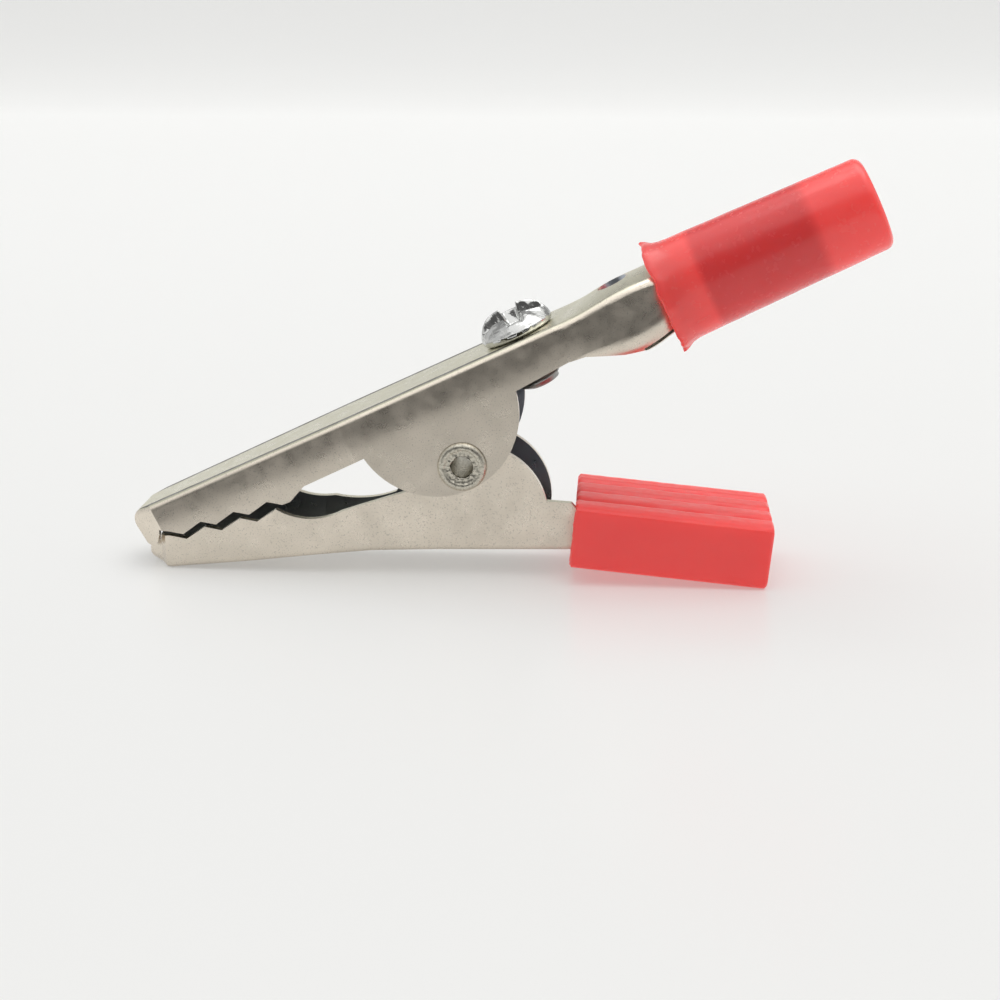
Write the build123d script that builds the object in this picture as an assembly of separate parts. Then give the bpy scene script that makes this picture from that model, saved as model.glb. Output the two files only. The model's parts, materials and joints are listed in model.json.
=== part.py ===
from build123d import *
import os
from math import asin, atan2, cos, hypot, pi, radians, sin, sqrt

# Alligator clip with two insulated handles, in millimetres, +Z up.
# The origin is the centre of the pivot rivet. +X runs from the jaws to the handles and +Y runs along
# the rivet. The clip rests on the toe of its lower jaw and the rear corner of its lower grip.

# ---- sheet steel ----
SHEET = 0.5
BEND_OUTER = 0.42
KEEL_BEND = 0.45
SHARPEST_BEND = 0.1
RUN_CLEAR = 0.05

# ---- pivot ----
EAR_HALF_UPPER = 3.5
EAR_HALF_LOWER = EAR_HALF_UPPER - SHEET - RUN_CLEAR
RIVET_R = 1.15
RIVET_BORE_R = 0.725
FLANGE_R = 1.68
FLANGE_T = 0.36
FLANGE_EDGE = 0.12
FLANGE_CROWN_R = 1.005
FLANGE_MOUTH = 0.25

# ---- upper jaw, in its own frame: x along the web, z square to it, pivot at the origin ----
JAW_TILT = 25.2
WEB_TOP = 6.15
NOSE_X = -23.3
NOSE_TIP_HALF = 1.55
NOSE_FOLD_X = -21.4
NOSE_HALF = 2.7
NOSE_LOW_Z = 5.1
BROW_X = -22.1
TAPER_END_X = -6.5
UPPER_EAR_X = -0.2
UPPER_EAR_Z = 4.05
UPPER_EAR_R = 5.75
CHANNEL_END_X = 9.5
CHEEK_LOW_Z = 3.22
CHEEK_LOW_REAR_Z = 3.55
UPPER_TIP_X = -20.1
UPPER_TIP_Z = 3.4
UPPER_TIP_RISE = -0.29
TOOTH_PITCH = 2.5
UPPER_TEETH = 4
UPPER_FLANK_X = 0.92
UPPER_FLANK_RISE = 0.62
# The fang at the front of each cheek, from the bent nose round to the first tooth.
FANG = [(NOSE_X + 0.15, 3.65), (NOSE_X + 0.45, 3.32), (-22.25, 3.52), (-21.78, 4.0), (-21.6, 4.32)]
# The cheeks' low edge between the last tooth and the ear.
UPPER_THROAT = [(-12.0, 2.5), (-10.6, 3.12)]
BROW_MIDDLE = (NOSE_X + 0.3, 5.84)
BROW_MIDDLE_INSIDE = (NOSE_X + SHEET + 0.2, 5.45)
NOSE_LOW_INSIDE_Z = NOSE_LOW_Z - 0.2
UPPER_HALVES = [
    (NOSE_X, NOSE_TIP_HALF),
    (NOSE_FOLD_X, NOSE_HALF),
    (TAPER_END_X, EAR_HALF_UPPER),
    (CHANNEL_END_X, EAR_HALF_UPPER),
]

# ---- plug barrel at the rear of the upper jaw ----
BARREL_R = 2.53
BARREL_Z = 4.42
BARREL_START_X = 18.4
BARREL_END_X = 27.6
BARREL_STEP = 0.02
SEAM_W = 0.5
SEAM_TURN = 45
SEAM_START_X = 14.4
WIRE_HOLE_X = 14.1
WIRE_HOLE_R = 1.15
# Sections of the neck: x, half width, crest, crease, underside, bend radius, lower corner radius.
NECK = [
    (CHANNEL_END_X, EAR_HALF_UPPER, WEB_TOP + 0.02, WEB_TOP, 3.0, BEND_OUTER, 0.5),
    (11.2, 3.48, 6.3, 6.17, 2.7, 0.44, 0.9),
    (13.2, 3.36, 6.7, 6.38, 2.0, 0.48, 1.5),
    (15.4, 3.16, 6.82, 6.48, 1.85, 0.5, 1.9),
    (16.6, 2.98, 6.85, 6.42, 2.1, 0.55, 2.0),
    (BARREL_START_X, BARREL_R + BARREL_STEP, 6.97, 6.9, 1.87, 2.3, 2.3),
]

# The cheeks' low edge along the neck, from the channel down to the seam.
NECK_MOUTH = [
    (CHANNEL_END_X, CHEEK_LOW_REAR_Z),
    (10.7, 3.42),
    (11.7, 2.98),
    (13.1, 2.36),
    (14.2, 2.05),
    (SEAM_START_X + 0.5, 1.7),
]

# ---- lower jaw, in the clip's frame ----
TOE_FRONT_X = -22.5
TOE_TIP_HALF = 0.95
TOE_FOLD_X = -20.95
TOE_TUCK_X = -21.45
TOE_TUCK_HALF = 1.9
TOE_RISE_X = -21.6
TOE_RISE = 0.14
TOE_X = -20.7
TOE_Z = -8.02
# The toe's front edge, from its underside up to the first tooth.
TOE = [
    (TOE_RISE_X, TOE_Z + TOE_RISE),
    (-22.3, -7.72),
    (TOE_FRONT_X, -7.4),
    (TOE_FRONT_X, -7.0),
    (-22.0, -6.35),
    (-21.5, -5.86),
    (-21.1, -5.66),
]
TOE_LIP_Z = -7.2
LOWER_EAR_X = 0.85
LOWER_EAR_Z = -3.62
LOWER_EAR_R = 4.97
LOWER_EAR_FRONT_X = -3.85
LOWER_EAR_REAR_Z = -2.5
LOWER_TIP_X = -20.6
LOWER_TIP_Z = -5.62
LOWER_TIP_RISE = 0.72
LOWER_PITCH = 2.54
LOWER_TEETH = 4
LOWER_FLAT = 1.2
LOWER_FLAT_DROP = 0.2
JOGGLE_FRONT_X = -10.5
JOGGLE_REAR_X = -6.5
JOGGLE_HALF = 3.15
THROAT_MIDDLE = (-10.3, -4.05)
THROAT_END = (-8.4, -3.5)
RIGHT_THROAT = [(-10.2, -3.9), (-8.1, -4.12), (-5.3, -3.55)]
RIGHT_THROAT_TOP = [(-4.5, -2.0), (-10.2, -2.0)]
RIGHT_CUT_INNER_Y = 1.0
LOWER_HALVES = [
    (TOE_FRONT_X, TOE_TIP_HALF),
    (TOE_TUCK_X, TOE_TUCK_HALF),
    (TOE_FOLD_X, NOSE_HALF),
    (JOGGLE_FRONT_X, JOGGLE_HALF),
    (JOGGLE_REAR_X, EAR_HALF_LOWER),
]

# ---- lower handle and grip ----
HANDLE_DROP = 5.3
SHOULDER_X = 7.5
HANDLE_TOP_Z = -3.0
HANDLE_BOTTOM_Z = -6.0
HANDLE_LENGTH = 11.8
RIGHT_FLANGE_Z = -4.6
GRIP_START = -0.15
GRIP_LENGTH = 13.5
GRIP_HALF = 4.5
GRIP_HEIGHT = 4.42
GRIP_TOP_WALL = 0.65
RIDGES = 4
RIDGE_H = 0.28
GROOVE_W = 0.5
GRIP_EDGE_R = 0.25
HANDLE_PLAY = 0.2

# ---- sleeve over the barrel ----
SLEEVE_X = 16.6
SLEEVE_END_X = 32.0
LIP_R = 3.98
LIP_BORE_R = 3.56
THROAT_X = 1.4
THROAT_R = 3.22
BORE_START_X = 3.0
LIP_LENGTH = 1.8
LIP_KNEE_X = 0.81
LIP_KNEE_R = 3.6
SLEEVE_FRONT_R = 3.48
SLEEVE_REAR_R = 3.2
SLEEVE_EDGE_R = 0.6
SLEEVE_EDGE_CUT = 0.18
SLEEVE_HOLE_R = 2.3
SLEEVE_BORE_R = BARREL_R + 0.01
SLEEVE_END_WALL = 1.3

# ---- terminal screw ----
SCREW_X = 6.9
SCREW_R = 1.45
SCREW_HEAD_R = 2.55
SCREW_HEAD_H = 1.85
HEAD_CROWN_R = 1.45
HEAD_UNDER_R = 2.15
HEAD_EDGE_Z = 0.5
SCREW_LENGTH = 3.9
THREAD_PITCH = 0.5
THREAD_DEPTH = 0.14
THREAD_RUNOUT = 0.2
TIP_CHAMFER = 0.3
COLLAR_R = 2.15
COLLAR_DEPTH = 0.75
SLOT_W = 0.75
SLOT_DEPTH = 0.7
CROSS_LENGTH = 2.7
CROSS_DEPTH = 1.0

# ---- torsion spring ----
WIRE_R = 0.4
COIL_R = 1.72
COIL_HALF = 1.95
COIL_TURNS = 4
LEG_GAP = 0.03
LEG_LAP = 0.15
LEG_UPPER_X = 4.2
LEG_LOWER_X = 7.4
LEG_LOWER_Z = -5.07

FAR = 40.0
Y_TO_FRONT = Plane.XZ


def jaw_place(shape):
    """Tilt a shape of the upper jaw's frame into the clip's frame."""
    return Rot(0, -JAW_TILT, 0) * shape


def across(edges, half):
    """Extrude a closed side outline of (x, z) edges to both sides of the middle plane."""
    return extrude(Y_TO_FRONT * make_face(Curve() + edges), half, both=True)


def plan(points):
    """A tall prism over a plan outline given for one side and mirrored to the other."""
    mirrored = [(x, -y) for x, y in reversed(points)]
    return extrude(make_face(Polyline(*points, *mirrored, close=True)), FAR, both=True)


def chain(points):
    """Straight edges through the points."""
    return [Line(a, b) for a, b in zip(points, points[1:])]


def circle_z(x, cx, cz, r, side):
    """Height of a circle's edge at x, above its centre for side 1 and below for side -1."""
    return cz + side * sqrt(r * r - (x - cx) ** 2)


def section_plane(x):
    return Plane(origin=(x, 0, 0), x_dir=(0, 1, 0), z_dir=(1, 0, 0))


def channel_section(x, half, web, rim, radius):
    """A block's cross section at x, with its two corners at the web rounded as bends."""
    side = 1 if web > rim else -1
    corner = web - side * radius
    rise = side * radius * sin(pi / 4)
    inset = radius * (1 - cos(pi / 4))
    outline = [
        Line((-half, rim), (-half, corner)),
        ThreePointArc((-half, corner), (-half + inset, corner + rise), (-half + radius, web)),
        Line((-half + radius, web), (half - radius, web)),
        ThreePointArc((half - radius, web), (half - inset, corner + rise), (half, corner)),
        Line((half, corner), (half, rim)),
        Line((half, rim), (-half, rim)),
    ]
    return section_plane(x) * make_face(Curve() + outline)


def channel_block(stations, rim, radius):
    """Solid block over stations of (x, half width, web height), with rounded bends along the web."""
    return loft([channel_section(x, half, web, rim, radius) for x, half, web in stations], ruled=True)


def cylinder_y(r, half):
    return extrude(Y_TO_FRONT * Circle(r), half, both=True)


# ---------------------------------------------------------------- upper jaw
def upper_teeth():
    """Saw teeth of the upper jaw: a steep front flank and a long rear flank."""
    points = []
    for i in range(UPPER_TEETH):
        tip_x = UPPER_TIP_X + i * TOOTH_PITCH
        tip_z = UPPER_TIP_Z + i * UPPER_TIP_RISE
        points += [(tip_x - UPPER_FLANK_X, tip_z + UPPER_FLANK_RISE), (tip_x, tip_z)]
    return points


def upper_outline():
    """Side outline of cheeks and web, from the fang round the teeth and the ear to the neck."""
    reach = sqrt(UPPER_EAR_R**2 - (UPPER_EAR_Z - CHEEK_LOW_Z) ** 2)
    ear_front = (UPPER_EAR_X - reach, CHEEK_LOW_Z)
    ear_rear = (UPPER_EAR_X + reach, CHEEK_LOW_Z)
    low = FANG + upper_teeth() + UPPER_THROAT + [ear_front]
    ear = ThreePointArc(ear_front, (UPPER_EAR_X, UPPER_EAR_Z - UPPER_EAR_R), ear_rear)
    top = [ear_rear, (CHANNEL_END_X, CHEEK_LOW_REAR_Z), (CHANNEL_END_X, WEB_TOP), (BROW_X, WEB_TOP)]
    brow = ThreePointArc((BROW_X, WEB_TOP), BROW_MIDDLE, (NOSE_X, NOSE_LOW_Z))
    return chain(low) + [ear] + chain(top) + [brow, Line((NOSE_X, NOSE_LOW_Z), FANG[0])]


def cavity_under_web():
    """Side outline of the hollow between the cheeks, one sheet below the web and its bent nose."""
    top = WEB_TOP - SHEET
    nose = (NOSE_X + SHEET, NOSE_LOW_INSIDE_Z)
    brow = ThreePointArc((BROW_X, top), BROW_MIDDLE_INSIDE, nose)
    around = [nose, (-FAR, NOSE_LOW_INSIDE_Z), (-FAR, -FAR), (FAR, -FAR), (FAR, top)]
    return [Line((FAR, top), (BROW_X, top)), brow] + chain(around)


def upper_hollow():
    """Plan of the space between the cheeks."""
    inner = [(x, half - SHEET) for x, half in UPPER_HALVES]
    inner[0] = (NOSE_X - SHEET, NOSE_TIP_HALF - SHEET)
    inner[-1] = (CHANNEL_END_X + SHEET, EAR_HALF_UPPER - SHEET)
    return plan(inner)


def neck_section(x, half, crest, crease, low, bend, corner, inset):
    """Cross section of the neck: a crowned web, a bend at each side and rounded lower corners."""
    half, crest, crease, low = half - inset, crest - inset, crease - inset, low + inset
    bend = max(bend - inset, SHARPEST_BEND)
    corner = max(corner - inset, SHARPEST_BEND)
    cut = 1 - cos(pi / 4)
    high, low_side = crease - bend * cut, low + corner * cut
    outline = [
        ThreePointArc((bend - half, crease), (0, crest), (half - bend, crease)),
        ThreePointArc((half - bend, crease), (half - bend * cut, high), (half, crease - bend)),
        Line((half, crease - bend), (half, low + corner)),
        ThreePointArc((half, low + corner), (half - corner * cut, low_side), (half - corner, low)),
        Line((half - corner, low), (corner - half, low)),
        ThreePointArc((corner - half, low), (corner * cut - half, low_side), (-half, low + corner)),
        Line((-half, low + corner), (-half, crease - bend)),
        ThreePointArc((-half, crease - bend), (bend * cut - half, high), (bend - half, crease)),
    ]
    return section_plane(x) * make_face(Curve() + outline)


def neck(inset):
    """Solid neck that turns the flat channel into the round barrel, inset by a wall."""
    return loft([neck_section(*station, inset) for station in NECK])


def rear_tube(inset, overrun):
    """The straight barrel behind the neck, inset by a wall."""
    circle = Pos(0, BARREL_Z) * Circle(BARREL_R - inset)
    return extrude(section_plane(BARREL_START_X) * circle, BARREL_END_X - BARREL_START_X + overrun)


def barrel():
    """Rolled neck and barrel, open between the cheeks at the front and along a seam at the rear."""
    body = neck(0) + rear_tube(0, 0)
    body -= neck(SHEET)
    body -= rear_tube(SHEET, 1.0)
    front, rear = CHANNEL_END_X - 1, NECK_MOUTH[-1][0]
    mouth = [(front, 0), (front, CHEEK_LOW_REAR_Z)] + NECK_MOUTH + [(rear, 0), (front, 0)]
    body -= across(chain(mouth), FAR)
    length = BARREL_END_X + 1 - SEAM_START_X
    slit = Pos(SEAM_START_X + length / 2, 0, -BARREL_R) * Box(length, SEAM_W, 2 * BARREL_R - 1)
    return body - Pos(0, 0, BARREL_Z) * Rot(-SEAM_TURN, 0, 0) * slit


def make_upper_jaw():
    block = channel_block([(x, half, WEB_TOP) for x, half in UPPER_HALVES], -FAR, BEND_OUTER)
    body = across(upper_outline(), 2 * EAR_HALF_UPPER) & block
    body -= across(cavity_under_web(), FAR) & upper_hollow()
    body += barrel()
    collar = Pos(SCREW_X, 0, WEB_TOP - SHEET - COLLAR_DEPTH / 2) * Cylinder(COLLAR_R, COLLAR_DEPTH)
    body += collar
    body -= Pos(SCREW_X, 0, WEB_TOP) * Cylinder(SCREW_R + RUN_CLEAR, 6)
    body -= Pos(WIRE_HOLE_X, 0, WEB_TOP) * Cylinder(WIRE_HOLE_R, 3)
    body -= cylinder_y(RIVET_R, FAR)
    return jaw_place(body)


# ---------------------------------------------------------------- lower jaw
def lower_teeth():
    """Saw teeth of the lower jaw: a short flat behind each tip, then a steep rise to the next."""
    points = []
    for i in range(LOWER_TEETH):
        tip_x = LOWER_TIP_X + i * LOWER_PITCH
        tip_z = LOWER_TIP_Z + i * LOWER_TIP_RISE
        points += [(tip_x, tip_z), (tip_x + LOWER_FLAT, tip_z - LOWER_FLAT_DROP)]
    return points[:-1]


def handle_point(along, z):
    """A point of the rear handle, which drops away behind the shoulder."""
    turn = radians(-HANDLE_DROP)
    rise = z - HANDLE_BOTTOM_Z
    x = SHOULDER_X + along * cos(turn) - rise * sin(turn)
    return (x, HANDLE_BOTTOM_Z + along * sin(turn) + rise * cos(turn))


def lower_floor(lift):
    """Underside of the lower jaw from toe to handle end, raised by a wall."""
    points = [
        (TOE_RISE_X, TOE_Z + TOE_RISE + lift),
        (TOE_X, TOE_Z + lift),
        (-15.2, -7.4 + lift),
        (JOGGLE_FRONT_X, -6.77 + lift),
        (JOGGLE_REAR_X, -6.4 + lift),
        (-2.0, -6.22 + lift),
        (SHOULDER_X, HANDLE_BOTTOM_Z + lift),
    ]
    return points + [handle_point(HANDLE_LENGTH, HANDLE_BOTTOM_Z + lift)]


def lower_outline():
    """Side outline of the lower jaw's cheeks and web."""
    top_z = circle_z(LOWER_EAR_FRONT_X, LOWER_EAR_X, LOWER_EAR_Z, LOWER_EAR_R, 1)
    ear_front = (LOWER_EAR_FRONT_X, top_z)
    ear_rear_x = LOWER_EAR_X + sqrt(LOWER_EAR_R**2 - (LOWER_EAR_Z - LOWER_EAR_REAR_Z) ** 2)
    ear_rear = (ear_rear_x, LOWER_EAR_REAR_Z)
    teeth = lower_teeth()
    throat = ThreePointArc(teeth[-1], THROAT_MIDDLE, THROAT_END)
    rise = Line(THROAT_END, ear_front)
    crown = ThreePointArc(ear_front, (LOWER_EAR_X, LOWER_EAR_Z + LOWER_EAR_R), ear_rear)
    rear = [
        ear_rear,
        (SHOULDER_X - 0.1, -2.6),
        handle_point(0, HANDLE_TOP_Z),
        handle_point(HANDLE_LENGTH, HANDLE_TOP_Z),
        handle_point(HANDLE_LENGTH, HANDLE_BOTTOM_Z),
    ]
    floor = list(reversed(lower_floor(0)))
    return chain(TOE + teeth) + [throat, rise, crown] + chain(rear) + chain(floor)


def lower_hollow():
    """Plan of the space between the lower cheeks."""
    inner = [(x, half - SHEET) for x, half in LOWER_HALVES]
    return plan([(TOE_FRONT_X - SHEET, TOE_TIP_HALF - SHEET)] + inner[1:] + [(FAR, inner[-1][1])])


def half_at(x):
    """Half width over the lower cheeks at x."""
    for (xa, ha), (xb, hb) in zip(LOWER_HALVES, LOWER_HALVES[1:]):
        if x <= xb:
            return ha + (hb - ha) * (x - xa) / (xb - xa)
    return EAR_HALF_LOWER


def floor_at(x):
    """Height of the underside at x."""
    points = lower_floor(0)
    for (xa, za), (xb, zb) in zip(points, points[1:]):
        if x <= xb:
            return za + (zb - za) * (x - xa) / (xb - xa)
    return points[-1][1]


def lower_block():
    """Block with the lower jaw's outside: a station at every kink of the plan and of the underside."""
    xs = sorted({x for x, half in LOWER_HALVES} | {x for x, z in lower_floor(0)})
    return channel_block([(x, half_at(x), floor_at(x)) for x in xs], FAR, KEEL_BEND)


def lower_cavity():
    """Side outline of the hollow between the lower cheeks, open at the top and above the toe's lip."""
    floor = lower_floor(SHEET)
    lip = [(-FAR, TOE_LIP_Z), (TOE_RISE_X, TOE_LIP_Z)]
    return chain(lip + floor[1:] + [(FAR, floor[-1][1]), (FAR, FAR), (-FAR, FAR), lip[0]])


def right_throat():
    """The right cheek's throat reaches further back than the left one's."""
    around = [RIGHT_THROAT[-1]] + RIGHT_THROAT_TOP + [RIGHT_THROAT[0]]
    cut = across([ThreePointArc(*RIGHT_THROAT)] + chain(around), FAR)
    return Pos(0, FAR + RIGHT_CUT_INNER_Y, 0) * cut


def right_handle():
    """Behind its ear the right cheek is only a low flange along the handle."""
    corner = (LOWER_EAR_X, RIGHT_FLANGE_Z)
    top = [(FAR, 0), (LOWER_EAR_X, 0), corner]
    rim = [corner, handle_point(0, RIGHT_FLANGE_Z), handle_point(FAR, RIGHT_FLANGE_Z), (FAR, 0)]
    cut = across(chain(top + rim[1:]), FAR)
    cut -= Pos(LOWER_EAR_X, 0, LOWER_EAR_Z) * cylinder_y(LOWER_EAR_R, FAR)
    return Pos(0, FAR + RIGHT_CUT_INNER_Y, 0) * cut


def make_lower_jaw():
    body = across(lower_outline(), 2 * EAR_HALF_UPPER) & lower_block()
    body -= across(lower_cavity(), FAR) & lower_hollow()
    body -= right_throat()
    body -= right_handle()
    body -= cylinder_y(RIVET_R + RUN_CLEAR, FAR)
    return body


# ---------------------------------------------------------------- rivet, spring, screw
def make_pivot_rivet():
    """Hollow rivet: a tube rolled over into a domed flange against each upper cheek."""
    outer = EAR_HALF_UPPER
    mouth = (RIVET_BORE_R, outer + FLANGE_T - FLANGE_MOUTH)
    crown = (FLANGE_CROWN_R, outer + FLANGE_T)
    edge = (FLANGE_R, outer + FLANGE_EDGE)
    half = [
        Line((RIVET_BORE_R, 0), mouth),
        ThreePointArc(mouth, (RIVET_BORE_R + 0.09, crown[1] - 0.07), crown),
        ThreePointArc(crown, (FLANGE_R - 0.2, crown[1] - 0.06), edge),
        Line(edge, (FLANGE_R, outer)),
        Line((FLANGE_R, outer), (RIVET_R, outer)),
        Line((RIVET_R, outer), (RIVET_R, 0)),
        Line((RIVET_R, 0), (RIVET_BORE_R, 0)),
    ]
    side = revolve(make_face(Curve() + half), Axis.Y)
    return side + mirror(side, Plane.XZ)


def leg_direction(end_x, end_z, side):
    """Angle of a straight leg that ends at a point and is tangent to the coil on the given side."""
    return atan2(end_z, end_x) - side * asin(COIL_R / hypot(end_x, end_z))


def leg(end_x, end_z, side, y):
    """A straight leg from its tangent point on the coil to its end."""
    angle = leg_direction(end_x, end_z, side)
    start = Vector(-side * COIL_R * sin(angle), y, side * COIL_R * cos(angle))
    along = Vector(cos(angle), 0, sin(angle))
    plane = Plane(origin=start - along * LEG_LAP, z_dir=along)
    return extrude(plane * Circle(WIRE_R), (Vector(end_x, y, end_z) - start).length + LEG_LAP)


def make_torsion_spring():
    """Coil round the rivet with one leg under the upper web and one on the lower web."""
    tilt = radians(JAW_TILT)
    under_web = WEB_TOP - SHEET - WIRE_R - LEG_GAP
    upper_x = LEG_UPPER_X * cos(tilt) - under_web * sin(tilt)
    upper_z = LEG_UPPER_X * sin(tilt) + under_web * cos(tilt)
    first = leg_direction(upper_x, upper_z, 1) + pi / 2
    last = leg_direction(LEG_LOWER_X, LEG_LOWER_Z, -1) - pi / 2 + 2 * pi * (COIL_TURNS + 1)
    pitch = 2 * COIL_HALF * 2 * pi / (last - first)
    start = Plane(origin=(0, COIL_HALF, 0), x_dir=(cos(first), 0, sin(first)), z_dir=(0, -1, 0))
    path = start * Helix(pitch, 2 * COIL_HALF, COIL_R)
    section = Plane(origin=path @ 0, z_dir=path % 0) * Circle(WIRE_R)
    coil = sweep(section, path=path, is_frenet=True)
    coil += leg(upper_x, upper_z, 1, COIL_HALF)
    return coil + leg(LEG_LOWER_X, LEG_LOWER_Z, -1, -COIL_HALF)


def make_terminal_screw():
    """Binding-head screw with a combined slot and cross, standing square to the upper web."""
    seat = WEB_TOP
    top = seat + SCREW_HEAD_H
    tip = seat - SCREW_LENGTH
    core = SCREW_R - THREAD_DEPTH
    crown = (HEAD_CROWN_R, top - 0.05)
    edge = (SCREW_HEAD_R, seat + HEAD_EDGE_Z)
    under = (HEAD_UNDER_R, seat)
    profile = [
        Line((0, top), crown),
        ThreePointArc(crown, (SCREW_HEAD_R - 0.22, seat + 1.1), edge),
        ThreePointArc(edge, (SCREW_HEAD_R - 0.1, seat + 0.15), under),
        Line(under, (core, seat)),
    ]
    threads = [(core, seat)]
    first = seat - THREAD_RUNOUT
    count = int((SCREW_LENGTH - 3 * THREAD_RUNOUT) / THREAD_PITCH)
    for i in range(count):
        start = first - i * THREAD_PITCH
        threads += [(core, start), (SCREW_R, start - THREAD_PITCH / 2)]
    threads += [(core, first - count * THREAD_PITCH), (core - TIP_CHAMFER, tip), (0, tip)]
    face = make_face(Curve() + profile + chain(threads) + [Line((0, tip), (0, top))])
    screw = revolve(Y_TO_FRONT * face, Axis.Z)
    screw -= Pos(0, 0, top) * Box(3 * SCREW_HEAD_R, SLOT_W, 2 * SLOT_DEPTH)
    cross = Pos(0, 0, top) * Box(CROSS_LENGTH, SLOT_W, 2 * CROSS_DEPTH)
    screw -= cross + Rot(0, 0, 90) * cross
    return jaw_place(Pos(SCREW_X, 0, 0) * screw)


# ---------------------------------------------------------------- plastic parts
def make_upper_sleeve():
    """Round tapered sleeve over the barrel, with a flared lip and a plug opening at the rear."""
    end = SLEEVE_END_X
    outline = [
        (SLEEVE_X, LIP_BORE_R),
        (SLEEVE_X, LIP_R),
        (SLEEVE_X + LIP_KNEE_X, LIP_KNEE_R),
        (SLEEVE_X + LIP_LENGTH, SLEEVE_FRONT_R),
        (end - SLEEVE_EDGE_R, SLEEVE_REAR_R),
    ]
    rim = (end, SLEEVE_REAR_R - SLEEVE_EDGE_R)
    edge = ThreePointArc(outline[-1], (end - SLEEVE_EDGE_CUT, SLEEVE_REAR_R - SLEEVE_EDGE_CUT), rim)
    inner = [
        rim,
        (end, SLEEVE_HOLE_R),
        (end - SLEEVE_END_WALL, SLEEVE_HOLE_R),
        (end - SLEEVE_END_WALL, SLEEVE_BORE_R),
        (SLEEVE_X + BORE_START_X, SLEEVE_BORE_R),
        (SLEEVE_X + THROAT_X, THROAT_R),
        (SLEEVE_X, LIP_BORE_R),
    ]
    face = make_face(Curve() + chain(outline) + [edge] + chain(inner))
    return jaw_place(Pos(0, 0, BARREL_Z) * revolve(face, Axis.X))


def make_lower_grip():
    """Rectangular grip over the handle: a closed rear end, and long ridges on its top."""
    top = HANDLE_TOP_Z + GRIP_TOP_WALL
    middle = top - GRIP_HEIGHT / 2
    block = Pos(GRIP_START + GRIP_LENGTH / 2, 0, middle) * Box(GRIP_LENGTH, 2 * GRIP_HALF, GRIP_HEIGHT)
    block = fillet(block.edges().filter_by(Axis.X), GRIP_EDGE_R)
    pitch = 2 * GRIP_HALF / RIDGES
    for i in range(RIDGES - 1):
        y = -GRIP_HALF + (i + 1) * pitch
        block -= Pos(GRIP_START + GRIP_LENGTH / 2, y, top) * Box(2 * GRIP_LENGTH, GROOVE_W, 2 * RIDGE_H)
    pocket = Box(2 * (HANDLE_LENGTH + HANDLE_PLAY), 2 * EAR_HALF_LOWER, HANDLE_TOP_Z - HANDLE_BOTTOM_Z)
    block -= Pos(0, 0, (HANDLE_TOP_Z + HANDLE_BOTTOM_Z) / 2) * pocket
    hinge = Pos(SHOULDER_X, 0, HANDLE_BOTTOM_Z) * Rot(0, HANDLE_DROP, 0) * Pos(0, 0, -HANDLE_BOTTOM_Z)
    return hinge * block


def write(node, shape):
    export_step(shape, os.path.join("parts", node + ".step"))


os.makedirs("parts", exist_ok=True)
write("upper_jaw", make_upper_jaw())
write("lower_jaw", make_lower_jaw())
write("pivot_rivet", make_pivot_rivet())
write("torsion_spring", make_torsion_spring())
write("terminal_screw", make_terminal_screw())
write("upper_sleeve", make_upper_sleeve())
write("lower_grip", make_lower_grip())
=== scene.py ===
import json
import math

import bpy
from mathutils import Matrix, Vector, noise


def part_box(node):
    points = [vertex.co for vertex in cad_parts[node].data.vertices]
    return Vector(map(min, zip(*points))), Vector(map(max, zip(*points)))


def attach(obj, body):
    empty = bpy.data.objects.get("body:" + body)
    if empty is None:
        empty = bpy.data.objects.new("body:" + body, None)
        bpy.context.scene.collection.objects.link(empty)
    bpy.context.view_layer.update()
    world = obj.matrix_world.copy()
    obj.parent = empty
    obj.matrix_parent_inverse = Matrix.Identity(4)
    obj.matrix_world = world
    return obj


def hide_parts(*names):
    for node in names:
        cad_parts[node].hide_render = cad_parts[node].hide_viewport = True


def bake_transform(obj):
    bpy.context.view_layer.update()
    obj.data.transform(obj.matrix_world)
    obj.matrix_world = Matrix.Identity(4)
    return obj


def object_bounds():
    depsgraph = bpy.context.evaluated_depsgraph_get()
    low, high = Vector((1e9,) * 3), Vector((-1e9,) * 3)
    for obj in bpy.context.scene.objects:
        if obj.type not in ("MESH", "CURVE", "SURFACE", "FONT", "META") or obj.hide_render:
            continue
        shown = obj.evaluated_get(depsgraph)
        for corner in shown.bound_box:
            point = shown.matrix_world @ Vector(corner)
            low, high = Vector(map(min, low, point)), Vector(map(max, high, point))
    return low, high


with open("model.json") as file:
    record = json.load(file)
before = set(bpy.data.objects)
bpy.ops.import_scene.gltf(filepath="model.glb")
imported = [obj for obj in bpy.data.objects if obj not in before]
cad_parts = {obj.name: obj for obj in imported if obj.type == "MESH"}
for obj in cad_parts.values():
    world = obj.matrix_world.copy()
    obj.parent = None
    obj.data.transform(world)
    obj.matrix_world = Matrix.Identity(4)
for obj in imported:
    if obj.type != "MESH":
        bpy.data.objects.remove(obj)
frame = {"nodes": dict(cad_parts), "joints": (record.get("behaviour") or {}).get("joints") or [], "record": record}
CAD_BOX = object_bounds()

# Profiles are in millimetres, and MM turns them into the frame's metres.
MM = 0.001


def span(node, direction):
    """Lowest and highest reach of a CAD node along a direction, in metres."""
    reach = [v.co.dot(direction) for v in frame["nodes"][node].data.vertices]
    return min(reach), max(reach)


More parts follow.
